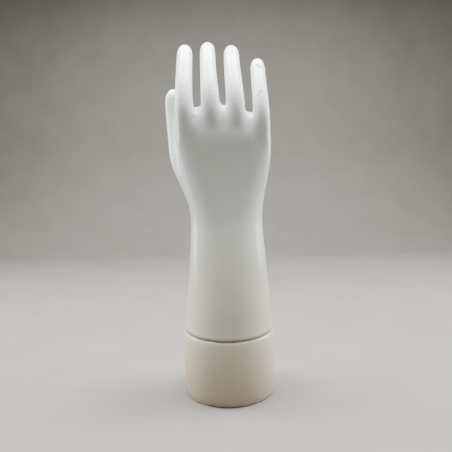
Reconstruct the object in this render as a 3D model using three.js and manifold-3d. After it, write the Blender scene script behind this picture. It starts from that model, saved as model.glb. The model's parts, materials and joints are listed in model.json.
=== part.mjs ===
// A porcelain glove mould: a hollow right hand and forearm that stands on a separate porcelain
// base, held down by a spring-loaded draw bolt. Millimetres, +Z up. The back of the hand faces
// -Y, the thumb is on the -X side. The pieces are drawn about the base's own axis. The origin is
// under the middle of the whole mould, thumb included, so that axis stands at AXIS_X.

import * as THREE from 'three';
import { LoftGeometry } from 'three/addons/geometries/LoftGeometry.js';
import { mergeVertices } from 'three/addons/utils/BufferGeometryUtils.js';
import Module from 'manifold-3d';

const wasm = await Module();
wasm.setup();

// ---- driving dimensions ----

const AXIS_X = 6.9;               // half of what the thumb reaches out past the base
const GAP = 0.3;                  // clearance kept between pieces that touch
const ROUND_SIDES = 40;           // sides of the large round pieces
const WASHER_SIDES = 36;
const SMALL_SIDES = 24;           // sides of the bolt, the nut and their holes

const SEAT_Z = 65.0;              // top of the base's land, under the gasket
const GASKET_THICKNESS = 0.6;
const MOUTH_Z = SEAT_Z + GASKET_THICKNESS + 2 * GAP;
const MOUTH_RADIUS = 46.0;
const WALL = 6.0;                 // wall of the slip-cast form

const RIM_RADIUS = 28.0;          // hole in the form's inturned rim
const RIM_TOP_Z = MOUTH_Z + 9.4;
const SPIGOT_RADIUS = RIM_RADIUS - 0.6;
const SPIGOT_TOP_Z = SEAT_Z + 6.0;

const FOOT_RADIUS = 47.3;         // base, just above the rounded foot edge
const BARREL_RADIUS = 47.5;       // base, at its widest
const SHOULDER_RADIUS = 46.5;
const RECESS_RADIUS = 40.0;       // hollow under the base, at the foot
const WEB_Z = 58.0;               // underside of the base's top web

const BOLT_RADIUS = 5.0;          // M10
const BOLT_END_Z = 8.0;
const BAR_SIZE = new THREE.Vector3(72, 16, 6);
const WING_REACH = 17.0;

const ARCH_CENTRE_X = -9.0;       // the webs are highest here and fall away to both sides
const ARCH_CURVE = 0.0067;        // drop in mm for each squared mm from that line
const ARCH_START_Z = 235.0;
const PALM_TOP_Z = 294.4;

// ---- solids ----

function toSolid(geometry) {
  const bare = new THREE.BufferGeometry();
  bare.setAttribute('position', geometry.attributes.position);
  bare.setIndex(geometry.index);
  const merged = mergeVertices(bare, 1e-4);
  const mesh = new wasm.Mesh({
    numProp: 3,
    vertProperties: new Float32Array(merged.attributes.position.array),
    triVerts: new Uint32Array(merged.index.array),
  });
  return new wasm.Manifold(mesh);
}

function toGeometry(solid) {
  const mesh = solid.getMesh();
  const geometry = new THREE.BufferGeometry();
  geometry.setAttribute('position', new THREE.BufferAttribute(mesh.vertProperties, 3));
  geometry.setIndex(new THREE.BufferAttribute(mesh.triVerts, 1));
  geometry.computeVertexNormals();
  return geometry;
}

// A turned solid from [radius, height] pairs, with its axis along Z.
function turned(profile, sides) {
  const points = profile.map(([radius, height]) => new THREE.Vector2(radius, height));
  return new THREE.LatheGeometry(points, sides).rotateX(Math.PI / 2);
}

// A flat ring, such as a washer, with its axis along Z.
function ring(innerRadius, outerRadius, lowZ, highZ, sides) {
  const profile = [
    [innerRadius, lowZ],
    [outerRadius, lowZ],
    [outerRadius, highZ],
    [innerRadius, highZ],
    [innerRadius, lowZ],
  ];
  return turned(profile, sides);
}

function disc(radius, lowZ, highZ, sides) {
  return turned([[0, lowZ], [radius, lowZ], [radius, highZ], [0, highZ]], sides);
}

// [radius, height] pairs along an arc between two angles in degrees.
function arc(centreRadius, centreHeight, radius, fromDegrees, toDegrees, steps) {
  return Array.from({ length: steps + 1 }, (_, i) => {
    const angle = THREE.MathUtils.degToRad(fromDegrees + ((toDegrees - fromDegrees) * i) / steps);
    return [centreRadius + radius * Math.cos(angle), centreHeight + radius * Math.sin(angle)];
  });
}

// ---- the hand and forearm ----

// Cross-sections from the mouth to the webs: height, thumb-side x, little-side x, back y, palm y
// and fullness, where 2 is an ellipse and more is squarer.
const BODY_SECTIONS = [
  [MOUTH_Z, -MOUTH_RADIUS, MOUTH_RADIUS, -MOUTH_RADIUS, MOUTH_RADIUS, 2.0],
  [92, -43.2, 44.2, -43.4, 43.2, 2.0],
  [118, -40.6, 42.0, -39.6, 38.8, 2.0],
  [145, -38.4, 39.4, -35.0, 34.2, 2.05],
  [180, -36.6, 36.7, -29.6, 29.4, 2.1],
  [200, -38.8, 38.3, -28.0, 25.5, 2.2],
  [220, -42.6, 42.2, -27.2, 19.0, 2.35],
  [240, -46.0, 44.8, -27.2, 12.5, 2.5],
  [258, -48.3, 45.5, -27.9, 6.9, 2.6],
  [269, -48.8, 45.4, -27.5, 3.6, 2.6],
  [277, -48.7, 45.2, -26.0, 0.6, 2.6],
  [284, -48.2, 44.5, -23.2, -3.2, 2.5],
  [290, -47.4, 43.8, -19.4, -8.0, 2.4],
  [PALM_TOP_Z, -46.6, 43.0, -16.0, -12.5, 2.2],
];
const BODY_LEVELS = [
  MOUTH_Z, 79, 92, 105, 118, 132, 145, 160, 172, 180, 188, 196, 204, 212, 220, 230, 240, 250,
  258, 264, 270, 275, 279, 282.5, 286, 289, 291.5, PALM_TOP_Z,
];
const CAVITY_TOP_Z = 266.0;
const CAVITY_LEVELS = [
  RIM_TOP_Z, 92, 112, 132, 152, 170, 184, 198, 212, 226, 240, 250, 258, 263, CAVITY_TOP_Z,
];

const bodyShape = new THREE.CubicInterpolant(
  BODY_SECTIONS.map((row) => row[0]),
  BODY_SECTIONS.flatMap((row) => row.slice(1)),
  5,
);

// Drop of the palm's upper end to both sides of its highest line.
function archDrop(x, z) {
  const share = THREE.MathUtils.clamp((z - ARCH_START_Z) / (PALM_TOP_Z - ARCH_START_Z), 0, 1);
  return share * ARCH_CURVE * (x - ARCH_CENTRE_X) ** 2;
}

// The muscle round the thumb's root, from the wrist up to the thumb's first free stretch.
const THUMB_ROOT = [
  [-17.0, 4.0, 192, 11.0], [-27.5, 6.5, 214, 15.0], [-37.0, 8.5, 235, 13.6],
  [-44.0, 10.8, 252, 10.8], [-49.0, 13.6, 269, 8.4],
];

// The fleshy mounds of the palm: centre x and z, half-widths, height and lean towards the thumb.
const PALM_MOUNDS = [
  { x: -27, z: 224, acrossX: 17, alongZ: 26, height: 9, lean: 0.4 },    // at the thumb's root
  { x: 25, z: 218, acrossX: 15, alongZ: 32, height: 7, lean: -0.05 },   // under the little finger
  { x: 0, z: 274, acrossX: 38, alongZ: 12, height: 2.5, lean: 0 },      // under the fingers
];

function moundHeight(x, z) {
  return PALM_MOUNDS.reduce((sum, mound) => {
    const across = (x - mound.x + mound.lean * (z - mound.z)) / mound.acrossX;
    const along = (z - mound.z) / mound.alongZ;
    return sum + mound.height * Math.exp(-(across ** 2) - along ** 2);
  }, 0);
}

// One closed section of the body at a height, drawn in by an inset on every side. The mounds
// swell its palm side, most where that side faces straight out.
function bodySection(z, inset, sides, withMounds) {
  const [thumbX, littleX, backY, palmY, fullness] = bodyShape.evaluate(z);
  const centreX = (thumbX + littleX) / 2;
  const centreY = (backY + palmY) / 2;
  const halfX = (littleX - thumbX) / 2 - inset;
  const halfY = (palmY - backY) / 2 - inset;
  return Array.from({ length: sides }, (_, i) => {
    const angle = (2 * Math.PI * i) / sides;
    const cos = Math.cos(angle);
    const sin = Math.sin(angle);
    const x = centreX + halfX * Math.sign(cos) * Math.abs(cos) ** (2 / fullness);
    const swell = withMounds && sin > 0 ? moundHeight(x, z) * Math.sqrt(sin) : 0;
    const y = centreY + halfY * Math.sign(sin) * Math.abs(sin) ** (2 / fullness) + swell;
    return new THREE.Vector3(x, y, z - archDrop(x, z));
  });
}

// The inset grows near the closed upper end of the hollow, so that it ends in a dome.
function cavityInset(z) {
  const domeHeight = 18;
  const domeInset = 8.5;
  const intoDome = THREE.MathUtils.clamp((z - (CAVITY_TOP_Z - domeHeight)) / domeHeight, 0, 0.995);
  return WALL + domeInset * (1 - Math.sqrt(1 - intoDome ** 2));
}

const body = new LoftGeometry(
  BODY_LEVELS.map((z) => bodySection(z, 0, 44, true)),
  { capStart: true, capEnd: true },
);
const cavity = new LoftGeometry(
  CAVITY_LEVELS.map((z) => bodySection(z, cavityInset(z), 28, false)),
  { capStart: true, capEnd: true },
);

// A digit: stations [x, y, z, radius] along its axis, the last one at the tip itself. The tip
// is half an ellipsoid, capLength long.
function digit(stations, capLength, flatness, rings, sides) {
  const axis = new THREE.CatmullRomCurve3(
    stations.map(([x, y, z]) => new THREE.Vector3(x, y, z)), false, 'centripetal',
  );
  axis.arcLengthDivisions = 400;
  const length = axis.getLength();
  const capStart = 1 - capLength / length;
  const lastRadius = stations.length - 1;
  const radiusAt = (share) => {
    const place = axis.getUtoTmapping(share) * lastRadius;
    const i = Math.min(Math.floor(place), lastRadius - 1);
    return THREE.MathUtils.lerp(stations[i][3], stations[i + 1][3], place - i);
  };
  const shares = Array.from({ length: rings }, (_, i) => (capStart * i) / rings);
  const capAngles = [0, 20, 38, 54, 67, 78, 86];
  const sections = [
    ...shares.map((share) => [share, 1]),
    ...capAngles.map((degrees) => {
      const angle = THREE.MathUtils.degToRad(degrees);
      return [capStart + (1 - capStart) * Math.sin(angle), Math.cos(angle)];
    }),
  ].map(([share, scale]) => {
    const centre = axis.getPointAt(share);
    const along = axis.getTangentAt(share);
    const across = new THREE.Vector3(1, 0, 0).addScaledVector(along, -along.x).normalize();
    const deep = along.clone().cross(across);
    const radius = radiusAt(share) * scale;
    return Array.from({ length: sides }, (_, i) => {
      const angle = (2 * Math.PI * i) / sides;
      return centre.clone()
        .addScaledVector(across, radius * Math.cos(angle))
        .addScaledVector(deep, radius * flatness * Math.sin(angle));
    });
  });
  return new LoftGeometry(sections, { capStart: true, capEnd: true });
}

const FINGERS = {
  index: [
    [-37.4, -15.9, 260, 9.6], [-38.6, -18.6, 287, 9.2], [-39.1, -14.6, 307, 8.4],
    [-39.1, -3.6, 328, 8.0], [-39.0, 8.6, 345.8, 7.9], [-39.0, 16.6, 357.4, 7.7],
  ],
  middle: [
    [-11.6, -16.8, 262, 10.2], [-12.9, -18.8, 289, 9.5], [-14.0, -15.2, 307.5, 8.6],
    [-15.2, -3.5, 329, 8.0], [-15.8, 9.2, 347.8, 7.7], [-16.0, 17.2, 359.8, 7.6],
  ],
  ring: [
    [12.6, -16.7, 260, 10.0], [11.3, -18.6, 286.5, 9.3], [10.3, -15.2, 305, 8.7],
    [9.1, -3.7, 326, 8.2], [8.4, 8.4, 343.9, 7.8], [8.3, 16.2, 356.1, 7.6],
  ],
  little: [
    [36.1, -15.0, 255, 8.6], [36.1, -18.2, 279, 8.2], [35.5, -15.4, 296, 7.7],
    [34.8, -6.4, 314, 7.4], [34.5, 3.2, 329.6, 7.2], [34.4, 9.8, 341.4, 7.0],
  ],
};
const THUMB = [
  [-30.5, -4.0, 196, 7.0], [-37.4, -1.0, 216, 8.4], [-42.8, 2.0, 230, 9.1],
  [-47.2, 6.4, 243, 9.4], [-49.9, 12.2, 264, 9.1], [-51.6, 15.8, 284, 8.9],
  [-52.6, 18.2, 303, 8.7], [-52.4, 19.4, 315.2, 8.5],
];

function makeHandForm() {
  let form = toSolid(body);
  for (const stations of Object.values(FINGERS)) {
    form = form.add(toSolid(digit(stations, 12, 0.96, 15, 20)));
  }
  form = form.add(toSolid(digit(THUMB, 12, 0.98, 18, 20)));
  form = form.add(toSolid(digit(THUMB_ROOT, 8, 1.0, 10, 20)));
  const rimHole = disc(RIM_RADIUS, MOUTH_Z - 5, RIM_TOP_Z + 1, ROUND_SIDES);
  return toGeometry(form.subtract(toSolid(cavity)).subtract(toSolid(rimHole)));
}

// ---- the base and its seam ----

function makeBaseCup() {
  const footEdge = 1.4;
  const shoulderRound = 2.0;
  const profile = [
    [RECESS_RADIUS, 0],
    ...arc(FOOT_RADIUS - 0.3 - footEdge, footEdge, footEdge, -90, 0, 3),
    [FOOT_RADIUS, 10],
    [BARREL_RADIUS, 26],
    [BARREL_RADIUS - 0.2, 44],
    [SHOULDER_RADIUS + 0.3, 57],
    ...arc(SHOULDER_RADIUS - shoulderRound, SEAT_Z - shoulderRound, shoulderRound, 0, 90, 4),
    [SPIGOT_RADIUS, SEAT_Z],
    [SPIGOT_RADIUS, SPIGOT_TOP_Z - 1],
    [SPIGOT_RADIUS - 1, SPIGOT_TOP_Z],
    [BOLT_RADIUS + 1.5, SPIGOT_TOP_Z],
    [BOLT_RADIUS + 1.5, WEB_Z],
    [RECESS_RADIUS - 7, WEB_Z],
    ...arc(RECESS_RADIUS - 7, WEB_Z - 6, 6, 90, 0, 3).slice(1),
    [RECESS_RADIUS, 0],
  ];
  return turned(profile, ROUND_SIDES);
}

function makeSeamGasket() {
  return ring(SPIGOT_RADIUS + 2.6, 45.0, SEAT_Z + GAP, MOUTH_Z - GAP, ROUND_SIDES);
}

// ---- the clamp ----

const BAR_LOW_Z = RIM_TOP_Z + GAP;
const HEAD_LOW_Z = BAR_LOW_Z + BAR_SIZE.z + GAP;
const HEAD_HEIGHT = 6.4;
const HEAD_ACROSS_FLATS = 17.0;
const HARDWARE_HOLE = BOLT_RADIUS + 0.35;

const WASHER_THICKNESS = 2.5;     // of the seal washer and both spring seats
const SEAL_TOP_Z = WEB_Z - GAP;
const SEAL_LOW_Z = SEAL_TOP_Z - WASHER_THICKNESS;
const UPPER_SEAT_TOP_Z = SEAL_LOW_Z - GAP;
const UPPER_SEAT_LOW_Z = UPPER_SEAT_TOP_Z - WASHER_THICKNESS;
const SPRING_TOP_Z = UPPER_SEAT_LOW_Z - GAP;
const SPRING_LENGTH = 22.0;
const SPRING_LOW_Z = SPRING_TOP_Z - SPRING_LENGTH;
const SPRING_COIL_RADIUS = 9.8;
const SPRING_WIRE_RADIUS = 1.35;
const SPRING_TURNS = 4.5;
const LOWER_SEAT_TOP_Z = SPRING_LOW_Z - GAP;
const LOWER_SEAT_LOW_Z = LOWER_SEAT_TOP_Z - WASHER_THICKNESS;
const NUT_TOP_Z = LOWER_SEAT_LOW_Z - GAP;

function makeBridgeBar() {
  const bar = new THREE.BoxGeometry(BAR_SIZE.x, BAR_SIZE.y, BAR_SIZE.z)
    .translate(0, 0, BAR_LOW_Z + BAR_SIZE.z / 2);
  const hole = disc(HARDWARE_HOLE, BAR_LOW_Z - 1, BAR_LOW_Z + BAR_SIZE.z + 1, SMALL_SIDES);
  return toGeometry(toSolid(bar).subtract(toSolid(hole)));
}

function makeDrawBolt() {
  const shank = disc(BOLT_RADIUS, BOLT_END_Z, HEAD_LOW_Z + 1, SMALL_SIDES);
  const cornerRadius = HEAD_ACROSS_FLATS / Math.sqrt(3);
  const head = disc(cornerRadius, HEAD_LOW_Z, HEAD_LOW_Z + HEAD_HEIGHT, 6);
  return toGeometry(toSolid(shank).add(toSolid(head)));
}

function makeSealWasher() {
  return ring(BOLT_RADIUS + 1.2, 16, SEAL_LOW_Z, SEAL_TOP_Z, WASHER_SIDES);
}

function makeUpperSeat() {
  return ring(HARDWARE_HOLE, 15.5, UPPER_SEAT_LOW_Z, UPPER_SEAT_TOP_Z, WASHER_SIDES);
}

function makeLowerSeat() {
  return ring(HARDWARE_HOLE, 13.5, LOWER_SEAT_LOW_Z, LOWER_SEAT_TOP_Z, WASHER_SIDES);
}

// The path of the spring's wire, whose first and last turns lie nearly flat.
class CoilCurve extends THREE.Curve {
  getPoint(t, target = new THREE.Vector3()) {
    const angle = 2 * Math.PI * SPRING_TURNS * t;
    const rise = THREE.MathUtils.smoothstep(t, 0.06, 0.94) * 0.35 + t * 0.65;
    const low = SPRING_LOW_Z + SPRING_WIRE_RADIUS;
    const high = SPRING_TOP_Z - SPRING_WIRE_RADIUS;
    return target.set(
      SPRING_COIL_RADIUS * Math.cos(angle),
      SPRING_COIL_RADIUS * Math.sin(angle),
      THREE.MathUtils.lerp(low, high, rise),
    );
  }
}

function makeClampSpring() {
  const wire = new THREE.Shape();
  wire.absarc(0, 0, SPRING_WIRE_RADIUS, 0, 2 * Math.PI);
  return new THREE.ExtrudeGeometry(wire, {
    curveSegments: 4,
    steps: 66,
    extrudePath: new CoilCurve(),
    bevelEnabled: false,
  });
}

function makeWingNut() {
  const bossLowZ = NUT_TOP_Z - 9;
  const wingLowZ = bossLowZ - 7;
  const wingThickness = 3.6;
  const boss = turned([[0, bossLowZ], [7.6, bossLowZ], [9.6, NUT_TOP_Z], [0, NUT_TOP_Z]], SMALL_SIDES);
  const outline = new THREE.Shape();
  outline.moveTo(5.6, NUT_TOP_Z - 2);
  outline.lineTo(9.5, NUT_TOP_Z - 2);
  outline.quadraticCurveTo(WING_REACH, NUT_TOP_Z - 4, WING_REACH, NUT_TOP_Z - 10);
  outline.quadraticCurveTo(WING_REACH, wingLowZ, 13.2, wingLowZ);
  outline.quadraticCurveTo(10.2, NUT_TOP_Z - 12, 6.6, bossLowZ + 0.4);
  const wing = new THREE.ExtrudeGeometry(outline, {
    depth: wingThickness, bevelEnabled: false, curveSegments: 5,
  }).translate(0, 0, -wingThickness / 2).rotateX(Math.PI / 2);
  const bore = disc(HARDWARE_HOLE, bossLowZ - 1, NUT_TOP_Z + 1, SMALL_SIDES);
  const otherWing = wing.clone().rotateZ(Math.PI);
  const nut = toSolid(boss).add(toSolid(wing)).add(toSolid(otherWing)).subtract(toSolid(bore));
  return toGeometry(nut);
}

// ---- the assembly ----

const glaze = { color: 0xeef0ea, roughness: 0.22, metalness: 0 };
const steel = { color: 0xa8abae, roughness: 0.4, metalness: 0.9 };
const blackRubber = { color: 0x1d1d1e, roughness: 0.85, metalness: 0 };
const greyRubber = { color: 0x8d8a82, roughness: 0.8, metalness: 0 };
const brass = { color: 0xb5954f, roughness: 0.38, metalness: 0.9 };

const PIECES = {
  base_cup: [makeBaseCup, glaze],
  seam_gasket: [makeSeamGasket, greyRubber],
  hand_form: [makeHandForm, glaze],
  bridge_bar: [makeBridgeBar, steel],
  draw_bolt: [makeDrawBolt, steel],
  seal_washer: [makeSealWasher, blackRubber],
  upper_spring_seat: [makeUpperSeat, steel],
  clamp_spring: [makeClampSpring, steel],
  lower_spring_seat: [makeLowerSeat, steel],
  wing_nut: [makeWingNut, brass],
};

const mould = new THREE.Group();
mould.position.x = AXIS_X;
for (const [name, [make, look]] of Object.entries(PIECES)) {
  const mesh = new THREE.Mesh(make(), new THREE.MeshStandardMaterial(look));
  mesh.name = name;
  mould.add(mesh);
}

const group = new THREE.Group();
group.add(mould);

export default group;
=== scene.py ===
import json
import math

import bmesh
import bpy
import numpy as np
from mathutils import Matrix, Vector


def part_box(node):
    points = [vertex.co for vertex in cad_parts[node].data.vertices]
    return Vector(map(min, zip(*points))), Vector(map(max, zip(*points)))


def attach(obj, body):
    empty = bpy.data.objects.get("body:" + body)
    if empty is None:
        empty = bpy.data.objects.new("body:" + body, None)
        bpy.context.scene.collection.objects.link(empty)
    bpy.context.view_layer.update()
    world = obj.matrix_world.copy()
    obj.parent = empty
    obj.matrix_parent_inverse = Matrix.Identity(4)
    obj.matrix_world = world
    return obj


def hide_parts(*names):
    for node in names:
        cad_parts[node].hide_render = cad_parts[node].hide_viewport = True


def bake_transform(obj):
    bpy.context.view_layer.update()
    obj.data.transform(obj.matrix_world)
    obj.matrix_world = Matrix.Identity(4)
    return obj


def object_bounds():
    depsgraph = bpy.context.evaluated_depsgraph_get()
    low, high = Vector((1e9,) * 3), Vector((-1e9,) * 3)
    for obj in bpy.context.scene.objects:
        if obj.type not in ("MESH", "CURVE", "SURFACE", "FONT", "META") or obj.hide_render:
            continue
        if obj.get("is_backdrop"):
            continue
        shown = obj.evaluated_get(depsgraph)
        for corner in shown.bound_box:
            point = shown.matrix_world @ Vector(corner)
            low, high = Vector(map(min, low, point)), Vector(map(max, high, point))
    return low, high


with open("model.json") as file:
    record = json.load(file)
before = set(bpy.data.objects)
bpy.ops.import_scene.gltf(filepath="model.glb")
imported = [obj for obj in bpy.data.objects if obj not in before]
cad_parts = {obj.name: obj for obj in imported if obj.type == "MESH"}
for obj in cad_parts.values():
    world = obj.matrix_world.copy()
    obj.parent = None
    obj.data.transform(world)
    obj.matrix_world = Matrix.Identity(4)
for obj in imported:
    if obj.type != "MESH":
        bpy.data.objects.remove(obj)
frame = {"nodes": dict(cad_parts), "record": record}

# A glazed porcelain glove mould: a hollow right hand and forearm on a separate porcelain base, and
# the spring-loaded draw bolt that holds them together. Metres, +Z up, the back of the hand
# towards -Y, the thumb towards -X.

CAD_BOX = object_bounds()
MM = 0.001
BASE_LOW, BASE_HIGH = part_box("base_cup")
HAND_LOW, HAND_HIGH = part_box("hand_form")
AXIS_X = (BASE_LOW[0] + BASE_HIGH[0]) / 2      # the base's axis, which the forearm and bolt share
SEAT_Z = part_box("seam_gasket")[0][2]           # top of the base's shoulder


# ---- camera, light and floor ----

CAMERA_PLACE = Vector((AXIS_X - 0.0006, -0.4763, 0.2227))
CAMERA_PITCH = 5.95         # degrees below the horizon
CAMERA_ROLL = -1.17         # degrees
CAMERA_LENS = 36.9          # on a 36 mm sensor


def make_camera():
    data = bpy.data.cameras.new("camera")
    data.sensor_width = 36.0
    data.lens = CAMERA_LENS
    data.clip_start = 0.01
    camera = bpy.data.objects.new("camera", data)
    turn_up = Matrix.Rotation(math.radians(90 - CAMERA_PITCH), 4, "X")
    roll = Matrix.Rotation(math.radians(CAMERA_ROLL), 4, "Z")
    camera.matrix_world = Matrix.Translation(CAMERA_PLACE) @ turn_up @ roll
    bpy.context.scene.collection.objects.link(camera)
    bpy.context.scene.camera = camera


def area_light(name, place, aim, size, power, colour):
    data = bpy.data.lights.new(name, "AREA")
    data.shape = "RECTANGLE"
    data.size, data.size_y = size
    data.energy = power
    data.color = colour
    light = bpy.data.objects.new(name, data)
    direction = Vector(aim) - Vector(place)
    light.rotation_euler = direction.to_track_quat("-Z", "Y").to_euler()
    light.location = place
    bpy.context.scene.collection.objects.link(light)


def make_lights():
    """Soft daylight, strongest from above and a little behind the hand, and weak from the front."""
    chest = (AXIS_X, 0.0, 0.2)
    cool = (0.93, 0.98, 1.0)
    area_light("top", (AXIS_X, 0.09, 1.05), chest, (1.0, 0.34), 88.0, cool)
    area_light("right", (0.95, 0.30, 0.50), chest, (0.4, 0.8), 14.0, cool)
    area_light("left", (-0.95, 0.32, 0.45), chest, (0.35, 0.8), 12.0, cool)
    world = bpy.data.worlds.new("studio")
    world.use_nodes = True
    background = world.node_tree.nodes["Background"]
    background.inputs["Color"].default_value = (0.59, 0.63, 0.61, 1)
    background.inputs["Strength"].default_value = 0.5
    bpy.context.scene.world = world


def make_floor():
    """A pale sweep: a floor that curves up into a wall behind the object."""
    near, far, bend, height, half_width = -3.0, 1.2, 0.35, 1.6, 4.5
    bend_steps = 12
    path = [(near, 0.0), (far - bend, 0.0)]
    for step in range(1, bend_steps + 1):
        angle = math.pi / 2 * step / bend_steps
        path.append((far - bend + bend * math.sin(angle), bend - bend * math.cos(angle)))
    path.append((far, height))
    verts = [(x, y, z) for y, z in path for x in (-half_width, half_width)]
    faces = [(2 * i, 2 * i + 1, 2 * i + 3, 2 * i + 2) for i in range(len(path) - 1)]
    shade = Shade("floor")
    grain = shade.noise(scale=14.0, detail=3.0)
    tones = [(0.3, (0.132, 0.116, 0.101)), (0.7, (0.147, 0.130, 0.114))]
    shade.feed(shade.ramp(grain, tones), "Base Color")
    shade.set("Roughness", 0.8)
    new_object("floor", verts, faces, shade.material)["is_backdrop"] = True


# ---- node materials ----

class Shade:
    """A node material on a Principled shader, with a few helpers for procedural detail."""

    def __init__(self, name):
        self.material = bpy.data.materials.new(name)
        self.material.use_nodes = True
        self.tree = self.material.node_tree
        self.shader = self.tree.nodes["Principled BSDF"]
        self.place = self.node("ShaderNodeTexCoord").outputs["Object"]

    def node(self, kind, **values):
        made = self.tree.nodes.new(kind)
        for key, value in values.items():
            setattr(made, key, value)
        return made

    def link(self, source, target):
        self.tree.links.new(source, target)

    def set(self, socket, value):
        self.shader.inputs[socket].default_value = value

    def feed(self, source, socket):
        self.link(source, self.shader.inputs[socket])

    def noise(self, scale, detail=2.0, roughness=0.5, place=None):
        made = self.node("ShaderNodeTexNoise")
        made.inputs["Scale"].default_value = scale
        made.inputs["Detail"].default_value = detail
        made.inputs["Roughness"].default_value = roughness
        self.link(place or self.place, made.inputs["Vector"])
        return made.outputs["Fac"]

    def cells(self, scale):
        made = self.node("ShaderNodeTexVoronoi")
        made.inputs["Scale"].default_value = scale
        self.link(self.place, made.inputs["Vector"])
        return made.outputs["Distance"]

    def stretched(self, scale):
        made = self.node("ShaderNodeMapping")
        made.inputs["Scale"].default_value = scale
        self.link(self.place, made.inputs["Vector"])
        return made.outputs["Vector"]

    def ramp(self, source, stops):
        made = self.node("ShaderNodeValToRGB")
        ramp = made.color_ramp
        while len(ramp.elements) < len(stops):
            ramp.elements.new(0.5)
        for element, (position, colour) in zip(ramp.elements, stops):
            element.position = position
            element.color = (*colour, 1)
        self.link(source, made.inputs["Fac"])
        return made.outputs["Color"]

    def range(self, source, low, high, to_low=0.0, to_high=1.0):
        made = self.node("ShaderNodeMapRange")
        made.inputs["From Min"].default_value = low
        made.inputs["From Max"].default_value = high
        made.inputs["To Min"].default_value = to_low
        made.inputs["To Max"].default_value = to_high
        self.link(source, made.inputs["Value"])
        return made.outputs["Result"]

    def math(self, operation, *sources):
        made = self.node("ShaderNodeMath", operation=operation)
        for socket, source in zip(made.inputs, sources):
            if isinstance(source, (int, float)):
                socket.default_value = source
            else:
                self.link(source, socket)
        return made.outputs["Value"]

    def product(self, *sources):
        total = sources[0]
        for source in sources[1:]:
            total = self.math("MULTIPLY", total, source)
        return total

    def mix(self, share, low, high):
        made = self.node("ShaderNodeMix", data_type="RGBA")
        sockets = (made.inputs[0], made.inputs[6], made.inputs[7])   # factor and the two colours
        for socket, source in zip(sockets, (share, low, high)):
            if isinstance(source, tuple):
                socket.default_value = (*source, 1)
            elif isinstance(source, (int, float)):
                socket.default_value = source
            else:
                self.link(source, socket)
        return made.outputs[2]

    def axis(self, letter):
        made = self.node("ShaderNodeSeparateXYZ")
        self.link(self.place, made.inputs["Vector"])
        return made.outputs[letter]

    def near(self, point, radius, core=0.0):
        """1 within a core round a point of the object, falling to 0 at a radius."""
        made = self.node("ShaderNodeVectorMath", operation="DISTANCE")
        self.link(self.place, made.inputs[0])
        made.inputs[1].default_value = point
        return self.range(made.outputs["Value"], core, radius, 1.0, 0.0)

    def bump(self, source, distance, strength, after=None):
        made = self.node("ShaderNodeBump")
        made.inputs["Strength"].default_value = strength
        made.inputs["Distance"].default_value = distance
        self.link(source, made.inputs["Height"])
        if after is not None:
            self.link(after, made.inputs["Normal"])
        self.feed(made.outputs["Normal"], "Normal")
        return made.outputs["Normal"]


def add_specks(shade, colour):
    """Pin-head iron specks in the glaze, thick in some places and missing in others."""
    specks = shade.range(shade.cells(300.0), 0.03, 0.07, 1.0, 0.0)
    sparse = shade.range(shade.noise(scale=55.0), 0.60, 0.70)
    return shade.mix(shade.product(specks, sparse), colour, (0.30, 0.26, 0.21))


def scuff(shade, colour, point, radius):
    """Grey rub marks: broken short strokes in a patch round a point."""
    strokes = shade.range(shade.noise(430.0, detail=3.0, roughness=0.6), 0.46, 0.53)
    patch = shade.near(point, radius, core=radius * 0.65)
    return shade.mix(shade.product(strokes, patch, 0.9), colour, (0.12, 0.13, 0.12))


def scratch(shade, colour, start, end, width, waver):
    """A thin dark line between two points on the -Y side of the glaze, with a wavering course."""
    start, end = Vector(start), Vector(end)
    along = end - start
    away = shade.node("ShaderNodeVectorMath", operation="SUBTRACT")
    shade.link(shade.place, away.inputs[0])
    away.inputs[1].default_value = start
    dot = shade.node("ShaderNodeVectorMath", operation="DOT_PRODUCT")
    shade.link(away.outputs["Vector"], dot.inputs[0])
    dot.inputs[1].default_value = along.normalized()
    far = shade.node("ShaderNodeVectorMath", operation="DOT_PRODUCT")
    shade.link(away.outputs["Vector"], far.inputs[0])
    far.inputs[1].default_value = along.normalized().cross(Vector((0, -1, 0))).normalized()
    wander = shade.range(shade.noise(260.0, detail=3.0), 0.2, 0.8, -waver, waver)
    side = shade.math("ABSOLUTE", shade.math("ADD", far.outputs["Value"], wander))
    line = shade.range(side, width * 0.4, width, 1.0, 0.0)
    low = shade.range(dot.outputs["Value"], 0.0, width)
    high = shade.range(dot.outputs["Value"], along.length - width, along.length, 1.0, 0.0)
    near_side = shade.range(shade.axis("Y"), start.y + 5 * MM, start.y + 7 * MM, 1.0, 0.0)
    return shade.mix(shade.product(line, low, high, near_side, 0.9), colour, (0.09, 0.09, 0.085))


def glaze(name, tone, marks):
    """Satin porcelain glaze: faint clouding, specks, and the soft waves left by slip casting."""
    shade = Shade(name)
    cloud = shade.noise(scale=22.0, detail=3.0)
    warm = tuple(c * w for c, w in zip(tone, (0.985, 0.965, 0.93)))
    colour = shade.mix(shade.range(cloud, 0.35, 0.68), tone, warm)
    colour = add_specks(shade, colour)
    for mark, *places in marks:
        colour = mark(shade, colour, *places)
    shade.feed(colour, "Base Color")
    shade.feed(shade.range(shade.noise(35.0, detail=4.0), 0.3, 0.7, 0.26, 0.38), "Roughness")
    shade.set("IOR", 1.5)
    shade.set("Coat Weight", 0.25)
    shade.set("Coat Roughness", 0.16)
    shade.set("Subsurface Weight", 0.08)
    shade.set("Subsurface Radius", (0.004, 0.0035, 0.003))
    shade.set("Subsurface Scale", 1.0)
    soft = shade.bump(shade.noise(scale=30.0, detail=1.0), 0.0006, 0.3)
    shade.bump(shade.noise(scale=420.0, detail=2.0), 0.00004, 0.3, after=soft)
    return shade.material


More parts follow.
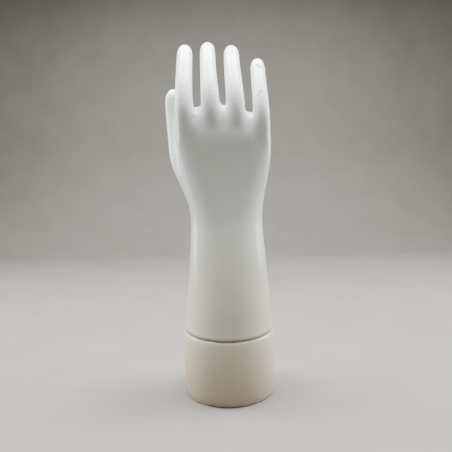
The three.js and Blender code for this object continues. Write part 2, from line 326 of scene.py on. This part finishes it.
def warm_tint(shade, colour, low_z, high_z, low_tone):
    """Shifts the glaze to a warmer, darker tone from one height down to a lower one."""
    uneven = shade.range(shade.noise(28.0, detail=3.0), 0.3, 0.7, -0.006, 0.006)
    height = shade.math("ADD", shade.axis("Z"), uneven)
    share = shade.range(height, low_z, high_z, 1.0, 0.0)
    return shade.mix(share, colour, low_tone)


def painted_shoulder_shade(shade, colour, top_z):
    """Painted shade on the base's shoulder under the seam, most at the front and back, that dulls its
    highlight.
    """
    uneven = shade.range(shade.noise(70.0, detail=3.0), 0.3, 0.7, 0.65, 0.95)
    line = shade.range(shade.axis("Z"), top_z - 2.4 * MM, top_z - 1.0 * MM)
    sideways = shade.math("ABSOLUTE", shade.math("SUBTRACT", shade.axis("X"), AXIS_X))
    middle = shade.range(sideways, 18 * MM, 36 * MM, 1.0, 0.15)
    return shade.mix(shade.product(line, uneven, middle), colour, (0.25, 0.22, 0.17))


def bare_foot(shade, colour):
    """The foot ring is bare of glaze, gritty and grey."""
    ragged = shade.range(shade.noise(190.0, detail=3.0), 0.3, 0.7, -0.35 * MM, 0.35 * MM)
    height = shade.math("ADD", shade.axis("Z"), ragged)
    bare = shade.range(height, 0.35 * MM, 0.75 * MM, 1.0, 0.0)
    grain = shade.noise(700.0, detail=4.0)
    grit = shade.ramp(grain, [(0.35, (0.30, 0.27, 0.23)), (0.7, (0.55, 0.52, 0.46))])
    return shade.mix(bare, colour, grit)


def metal(name, dark, light, roughness, streak, stain=None):
    """Metal with turning or drawing marks along one direction and patches of stain or scale."""
    shade = Shade(name)
    grain = shade.noise(scale=1.0, detail=3.0, place=shade.stretched(streak))
    blotch = shade.noise(scale=90.0, detail=4.0)
    colour = shade.mix(shade.range(grain, 0.3, 0.7), dark, light)
    if stain is not None:
        colour = shade.mix(shade.range(blotch, 0.53, 0.70), colour, stain)
    shade.feed(colour, "Base Color")
    shade.set("Metallic", 1.0)
    uneven = shade.math("ADD", shade.product(grain, 0.14), shade.product(blotch, 0.16))
    shade.feed(shade.math("ADD", uneven, roughness - 0.15), "Roughness")
    shade.bump(grain, 0.00005, 0.4)
    return shade.material


def cast_brass(name):
    shade = Shade(name)
    sand = shade.noise(scale=1100.0, detail=3.0)
    blotch = shade.noise(scale=120.0, detail=4.0)
    tones = [(0.36, (0.62, 0.44, 0.16)), (0.55, (0.48, 0.33, 0.13)), (0.7, (0.20, 0.15, 0.08))]
    colour = shade.ramp(blotch, tones)
    shade.feed(colour, "Base Color")
    shade.set("Metallic", 1.0)
    shade.feed(shade.range(blotch, 0.3, 0.7, 0.30, 0.55), "Roughness")
    shade.bump(sand, 0.00012, 0.6)
    return shade.material


def rubber(name, dark, light):
    """Moulded rubber, with dust lying on it in patches."""
    shade = Shade(name)
    dust = shade.noise(scale=160.0, detail=4.0)
    shade.feed(shade.ramp(dust, [(0.35, dark), (0.75, light)]), "Base Color")
    shade.feed(shade.range(dust, 0.3, 0.7, 0.6, 0.85), "Roughness")
    shade.bump(shade.noise(scale=900.0), 0.00006, 0.5)
    return shade.material


# ---- mesh helpers ----

def new_object(name, verts, faces, material, smooth_angle=None):
    """An object of these vertices and faces, smooth all over or up to an angle in degrees."""
    mesh = bpy.data.meshes.new(name)
    mesh.from_pydata([tuple(v) for v in verts], [], [tuple(f) for f in faces])
    mesh.validate()
    mesh.shade_smooth()
    if smooth_angle is not None:
        mesh.set_sharp_from_angle(angle=math.radians(smooth_angle))
    mesh.materials.append(material)
    obj = bpy.data.objects.new(name, mesh)
    bpy.context.scene.collection.objects.link(obj)
    return obj


def copied(node, name, material):
    """A loose copy of a CAD node's solid, to be reshaped."""
    mesh = frame["nodes"][node].data.copy()
    mesh.name = name
    mesh.materials.clear()
    mesh.materials.append(material)
    obj = bpy.data.objects.new(name, mesh)
    bpy.context.scene.collection.objects.link(obj)
    return obj


def apply_modifiers(obj):
    depsgraph = bpy.context.evaluated_depsgraph_get()
    mesh = bpy.data.meshes.new_from_object(obj.evaluated_get(depsgraph))
    obj.modifiers.clear()
    obj.data = mesh


def outward(obj):
    shape = bmesh.new()
    shape.from_mesh(obj.data)
    bmesh.ops.recalc_face_normals(shape, faces=shape.faces)
    shape.to_mesh(obj.data)
    shape.free()


def stand_for(piece, node):
    """The piece takes a CAD node's place on that node's body."""
    bodies = frame["record"]["behaviour"]["bodies"]
    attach(piece, next(body for body, nodes in bodies.items() if node in nodes))
    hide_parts(node)


# ---- fairing ----

FILL_STEP = 0.9
SMOOTH_STEP = 0.5
SWELL_STEP = 0.515            # a little more than the smoothing step, so that a piece keeps its size


def neighbour_table(mesh):
    """For each vertex, the vertices joined to it, padded with itself, and how many there are."""
    edges = np.empty(len(mesh.edges) * 2, dtype=np.int64)
    mesh.edges.foreach_get("vertices", edges)
    edges = edges.reshape(-1, 2)
    both = np.vstack([edges, edges[:, ::-1]])
    both = both[np.argsort(both[:, 0], kind="stable")]
    count = np.bincount(both[:, 0], minlength=len(mesh.vertices))
    start = np.concatenate([[0], np.cumsum(count)[:-1]])
    table = np.repeat(np.arange(len(mesh.vertices))[:, None], count.max(), axis=1)
    column = np.arange(len(both)) - start[both[:, 0]]
    table[both[:, 0], column] = both[:, 1]
    return table, count


def pull(verts, table, count):
    """The step from each vertex to the mean of its neighbours."""
    padding = table.shape[1] - count
    total = verts[table].sum(axis=1) - verts * padding[:, None]
    return total / count[:, None] - verts


def vertex_normals(verts, faces):
    across = verts[faces[:, 2]] - verts[faces[:, 0]]
    up = verts[faces[:, 3]] - verts[faces[:, 1]]
    normal = np.cross(across, up)
    total = np.zeros_like(verts)
    for corner in range(4):
        np.add.at(total, faces[:, corner], normal)
    return total / np.maximum(np.linalg.norm(total, axis=1), 1e-12)[:, None]


def remeshed(obj, voxel):
    remesh = obj.modifiers.new("remesh", "REMESH")
    remesh.mode = "VOXEL"
    remesh.voxel_size = voxel
    apply_modifiers(obj)
    obj.data.shade_smooth()


def fair(obj, rounds, fill_rounds, fill_weight):
    """Smooths a remeshed piece without shrinking it. Its hollows are first filled out to soft fillets,
    as slip and glaze fill them, by as much as fill_weight says for each vertex."""
    mesh = obj.data
    table, count = neighbour_table(mesh)
    verts = np.empty(len(mesh.vertices) * 3)
    mesh.vertices.foreach_get("co", verts)
    verts = verts.reshape(-1, 3)
    faces = np.array([tuple(p.vertices) for p in mesh.polygons])
    weight = fill_weight(verts)
    for _ in range(fill_rounds):
        normal = vertex_normals(verts, faces)
        outwards = np.maximum((pull(verts, table, count) * normal).sum(axis=1), 0) * weight
        verts = verts + normal * outwards[:, None] * FILL_STEP
    for _ in range(rounds):
        verts = verts + SMOOTH_STEP * pull(verts, table, count)
        verts = verts - SWELL_STEP * pull(verts, table, count)
    mesh.vertices.foreach_set("co", verts.ravel())
    mesh.update()


# ---- turned pieces ----

def turned_profile(node):
    """The (radius, height) outline of a turned CAD node in mm, read off its edges on the -Y side."""
    mesh = frame["nodes"][node].data
    points = [((v.co.x - AXIS_X) / MM, v.co.y / MM, v.co.z / MM) for v in mesh.vertices]
    on_plane = [abs(x) < 0.01 and y < -0.01 for x, y, _ in points]
    place = [(round(-y, 3), round(z, 3)) for _, y, z in points]
    links = {}
    for edge in mesh.edges:
        a, b = edge.vertices
        if on_plane[a] and on_plane[b] and place[a] != place[b]:
            links.setdefault(place[a], set()).add(place[b])
            links.setdefault(place[b], set()).add(place[a])
    first = min(links, key=lambda p: (p[1], p[0]))
    chain = [first]
    before, here = None, first
    while True:
        onward = [p for p in links[here] if p != before]
        onward.sort(key=lambda p: (p in chain, math.dist(p, here)))
        before, here = here, onward[0]
        if here == first:
            break
        chain.append(here)
    return chain


CORNER_STEPS = 4
NEARLY_STRAIGHT = math.radians(155)


def rounded(outline, radius):
    """A closed outline with each sharp corner replaced by a short curve."""
    made = []
    count = len(outline)
    for i, corner in enumerate(outline):
        corner = Vector(corner)
        to_last = Vector(outline[i - 1]) - corner
        to_next = Vector(outline[(i + 1) % count]) - corner
        if to_last.angle(to_next) > NEARLY_STRAIGHT:
            made.append(corner)
            continue
        cut = min(radius, to_last.length * 0.45, to_next.length * 0.45)
        start = corner + to_last.normalized() * cut
        end = corner + to_next.normalized() * cut
        for step in range(CORNER_STEPS + 1):
            t = step / CORNER_STEPS
            made.append(start * (1 - t) ** 2 + corner * 2 * t * (1 - t) + end * t ** 2)
    return made


def turn(name, outline, material, sides, shape=None, closed=True, smooth_angle=40):
    """An outline of (radius, height) in mm turned about the base's axis. shape(angle, radius, height)
    may give another radius. An open outline runs from the lowest point up and is closed by two discs."""
    rows = len(outline)
    verts = []
    for side in range(sides):
        angle = 2 * math.pi * side / sides
        for radius, height in outline:
            reach = (shape(angle, radius, height) if shape else radius) * MM
            verts.append((AXIS_X + reach * math.cos(angle), reach * math.sin(angle), height * MM))
    faces = []
    for side in range(sides):
        after = (side + 1) % sides
        for row in range(rows if closed else rows - 1):
            up = (row + 1) % rows
            faces.append((side * rows + row, after * rows + row, after * rows + up, side * rows + up))
    if not closed:
        for row, height in ((0, outline[0][1]), (rows - 1, outline[-1][1])):
            verts.append((AXIS_X, 0.0, height * MM))
            for side in range(sides):
                faces.append((side * rows + row, (side + 1) % sides * rows + row, len(verts) - 1))
    obj = new_object(name, verts, faces, material, smooth_angle)
    outward(obj)
    return obj


def turned_again(node, name, corner, material, sides):
    """A turned CAD node, turned again finely with rounded corners."""
    piece = turn(name, rounded(turned_profile(node), corner), material, sides)
    stand_for(piece, node)
    return piece


# ---- the hand ----

HAND_VOXEL = 1.2 * MM
HAND_FAIR_ROUNDS = 110
HAND_FILL_ROUNDS = 120
FILL_FROM_Z = 0.175           # the forearm below the wrist has no creases to fill
FILL_FULL_Z = 0.195
FINGER_REACH = 6 * MM         # less than half a finger's width


def hand_fill(verts):
    return np.clip((verts[:, 2] - FILL_FROM_Z) / (FILL_FULL_Z - FILL_FROM_Z), 0, 1)


def make_hand(material):
    hand = copied("hand_form", "porcelain_hand", material)
    remeshed(hand, HAND_VOXEL)
    fair(hand, HAND_FAIR_ROUNDS, HAND_FILL_ROUNDS, hand_fill)
    stand_for(hand, "hand_form")


def fingertip(share):
    """The highest point of the hand near a share of the way across it, from the thumb's side."""
    x = HAND_LOW[0] + (HAND_HIGH[0] - HAND_LOW[0]) * share
    points = [v.co for v in frame["nodes"]["hand_form"].data.vertices]
    near = [point for point in points if abs(point.x - x) < FINGER_REACH]
    return max(near, key=lambda point: point.z).copy()


# ---- the base ----

# Nicks in the foot's edge: angle in degrees round the base, half-width and depth in mm.
FOOT_NICKS = [(-97, 1.8, 0.9), (-112, 2.6, 0.7), (-58, 1.5, 0.6), (31, 2.4, 0.9), (140, 3.0, 0.8)]
NICK_HEIGHT = 2.2 * MM
NICKED_RADIUS = 45 * MM       # only the foot's outer edge is nicked


def make_base(material):
    base = turned_again("base_cup", "porcelain_base", 0.8, material, 320)
    for vertex in base.data.vertices:
        x, y, z = vertex.co.x - AXIS_X, vertex.co.y, vertex.co.z
        radius = math.hypot(x, y)
        if z > NICK_HEIGHT or radius < NICKED_RADIUS:
            continue
        for degrees, half_width, depth in FOOT_NICKS:
            swing = math.atan2(y, x) - math.radians(degrees)
            along = math.atan2(math.sin(swing), math.cos(swing)) * radius / MM / half_width
            bite = depth * max(0.0, 1 - along ** 2) * (1 - z / NICK_HEIGHT)
            vertex.co.x -= x / radius * bite * MM
            vertex.co.y -= y / radius * bite * MM


# ---- the clamp, in mm ----

THREAD_PITCH = 1.5
THREAD_DEPTH = 0.55
THREAD_TOP_Z = 50.0
THREAD_ROWS = 10              # mesh rows in one pitch
END_CHAMFER = 1.0
HEAD_HEIGHT = 6.4
SPRING_TURNS = 4.5
SPRING_WIRE_RADIUS = 1.35
SPRING_STEPS = 360
SPRING_SIDES = 18


def make_bolt(material):
    """A hexagon-head bolt, its head chamfered and its lower shank threaded."""
    low, high = (np.array(corner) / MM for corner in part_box("draw_bolt"))
    points = [v.co / MM for v in frame["nodes"]["draw_bolt"].data.vertices]
    shank = max(abs(point.y) for point in points if point.z < low[2] + 1)
    corner = max(high[0] - low[0], high[1] - low[1]) / 2
    flat = corner * math.cos(math.pi / 6)
    head_low = high[2] - HEAD_HEIGHT

    def shape(angle, radius, height):
        if radius > shank + 0.2:
            from_flat = (angle + math.pi / 6) % (math.pi / 3) - math.pi / 6
            return min(flat / math.cos(from_flat), radius)
        if height > THREAD_TOP_Z or height < low[2] + 0.6:
            return radius
        phase = (height / THREAD_PITCH - angle / (2 * math.pi)) % 1.0
        fade = min(1.0, (THREAD_TOP_Z - height) / THREAD_PITCH)
        return radius - THREAD_DEPTH * abs(2 * phase - 1) * fade

    steps = int((THREAD_TOP_Z - low[2]) / THREAD_PITCH * THREAD_ROWS)
    thread_low = low[2] + 0.3
    outline = [(shank - END_CHAMFER, low[2])]
    for step in range(steps + 1):
        height = thread_low + (THREAD_TOP_Z - thread_low) * step / steps
        outline.append((min(shank, shank - END_CHAMFER + (height - low[2])), height))
    outline += [(shank, head_low - 0.6), (shank + 0.15, head_low)]
    outline += [(flat - 0.6, head_low), (flat - 0.4, head_low + 0.25), (corner, head_low + 0.9)]
    outline += [(corner, high[2] - 1.3), (flat + 0.1, high[2] - 0.35), (flat - 0.5, high[2])]
    bolt = turn("steel_draw_bolt", outline, material, 96, shape, closed=False, smooth_angle=30)
    stand_for(bolt, "draw_bolt")


def make_spring(material):
    """The coil, with its end turns nearly flat and its wire's ends ground to a blunt point."""
    low, high = (np.array(corner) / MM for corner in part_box("clamp_spring"))
    coil = (high[0] - low[0]) / 2 - SPRING_WIRE_RADIUS
    bottom = low[2] + SPRING_WIRE_RADIUS
    top = high[2] - SPRING_WIRE_RADIUS
    steps, sides = SPRING_STEPS, SPRING_SIDES
    verts, faces = [], []
    for step in range(steps + 1):
        t = step / steps
        ease = min(max((t - 0.06) / 0.88, 0), 1)
        rise = 0.35 * ease * ease * (3 - 2 * ease) + 0.65 * t
        coil_angle = 2 * math.pi * SPRING_TURNS * t
        height = bottom + (top - bottom) * rise
        ground = min(1.0, math.sqrt(min(step, steps - step) / 4 + 0.15))
        wire = SPRING_WIRE_RADIUS * ground
        for side in range(sides):
            around = 2 * math.pi * side / sides
            reach = (coil + wire * math.cos(around)) * MM
            place = (AXIS_X + reach * math.cos(coil_angle), reach * math.sin(coil_angle))
            verts.append((*place, (height + wire * math.sin(around)) * MM))
    for step in range(steps):
        for side in range(sides):
            after = (side + 1) % sides
            row = step * sides
            faces.append((row + side, row + after, row + sides + after, row + sides + side))
    faces.append(tuple(range(sides)))
    faces.append(tuple(steps * sides + side for side in range(sides)))
    spring = new_object("steel_clamp_spring", verts, faces, material, 50)
    outward(spring)
    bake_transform(spring)
    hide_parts("clamp_spring")


def make_bridge_bar(material):
    """A sawn flat bar with its edges filed off."""
    bar = copied("bridge_bar", "steel_bridge_bar", material)
    shape = bmesh.new()
    shape.from_mesh(bar.data)
    bmesh.ops.remove_doubles(shape, verts=shape.verts, dist=0.01 * MM)
    bmesh.ops.dissolve_limit(shape, angle_limit=math.radians(1), verts=shape.verts, edges=shape.edges)
    shape.to_mesh(bar.data)
    shape.free()
    bevel = bar.modifiers.new("filed edges", "BEVEL")
    bevel.width = 0.7 * MM
    bevel.segments = 3
    bevel.limit_method = "ANGLE"
    bevel.angle_limit = math.radians(40)
    apply_modifiers(bar)
    bar.data.shade_smooth()
    bar.data.set_sharp_from_angle(angle=math.radians(35))
    stand_for(bar, "bridge_bar")


def make_wing_nut(material):
    nut = copied("wing_nut", "brass_wing_nut", material)
    remeshed(nut, 0.4 * MM)
    fair(nut, 12, 6, lambda verts: np.ones(len(verts)))
    stand_for(nut, "wing_nut")


# ---- the whole mould ----

make_camera()
make_lights()
make_floor()

RING_TIP = fingertip(0.62)
LITTLE_TIP = fingertip(0.86)
THUMB_TIP = fingertip(0.07)
LITTLE_SCRATCH = LITTLE_TIP + Vector((-2.4, -30.6, -41.5)) * MM
THUMB_HAIRLINE = THUMB_TIP + Vector((-3.1, -18.0, -70.2)) * MM
HAND_MARKS = [
    (warm_tint, SEAT_Z + 0.053, SEAT_Z + 0.148, (0.58, 0.54, 0.425)),
    (scuff, RING_TIP + Vector((1.0, -10.5, -6.0)) * MM, 5.0 * MM),
    (scuff, LITTLE_TIP + Vector((1.5, -12.0, -8.0)) * MM, 5.0 * MM),
    (scratch, LITTLE_SCRATCH, LITTLE_SCRATCH + Vector((5.4, 3.0, 6.0)) * MM, 0.7 * MM, 1.1 * MM),
    (scratch, THUMB_HAIRLINE, THUMB_HAIRLINE + Vector((4.4, -3.6, 2.3)) * MM, 0.4 * MM, 0.7 * MM),
]

BASE_MARKS = [
    (warm_tint, 0.018, SEAT_Z, (0.48, 0.385, 0.27)),
    # painted shade on the base's shoulder under the seam
    (painted_shoulder_shade, SEAT_Z),
    (bare_foot,),
]

hand_glaze = glaze("hand_glaze", (0.79, 0.825, 0.80), HAND_MARKS)
base_glaze = glaze("base_glaze", (0.63, 0.565, 0.435), BASE_MARKS)
grey_rubber = rubber("grey_rubber", (0.46, 0.44, 0.40), (0.60, 0.57, 0.52))
black_rubber = rubber("black_rubber", (0.012, 0.012, 0.012), (0.05, 0.048, 0.045))
turned_steel = metal("zinc_steel", (0.42, 0.43, 0.44), (0.62, 0.63, 0.64), 0.36, (60, 60, 900),
                     stain=(0.30, 0.29, 0.27))
drawn_steel = metal("drawn_steel", (0.30, 0.30, 0.31), (0.50, 0.50, 0.51), 0.42, (40, 900, 900),
                    stain=(0.22, 0.15, 0.10))
spring_steel = metal("blued_spring_steel", (0.05, 0.055, 0.07), (0.13, 0.13, 0.15), 0.34, (500, 500, 160))
brass = cast_brass("cast_brass")

make_hand(hand_glaze)
make_base(base_glaze)
turned_again("seam_gasket", "rubber_seam_gasket", 0.2, grey_rubber, 160)
turned_again("seal_washer", "rubber_seal_washer", 0.7, black_rubber, 96)
turned_again("upper_spring_seat", "steel_upper_seat", 0.5, turned_steel, 96)
turned_again("lower_spring_seat", "steel_lower_seat", 0.5, turned_steel, 96)
make_bridge_bar(drawn_steel)
make_bolt(turned_steel)
make_spring(spring_steel)
make_wing_nut(brass)

VISUAL_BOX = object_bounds()
SIZES = {"cad": CAD_BOX, "visual": VISUAL_BOX}
for box_name, box in SIZES.items():
    SIZES[box_name] = [[float(value) for value in corner] for corner in box]
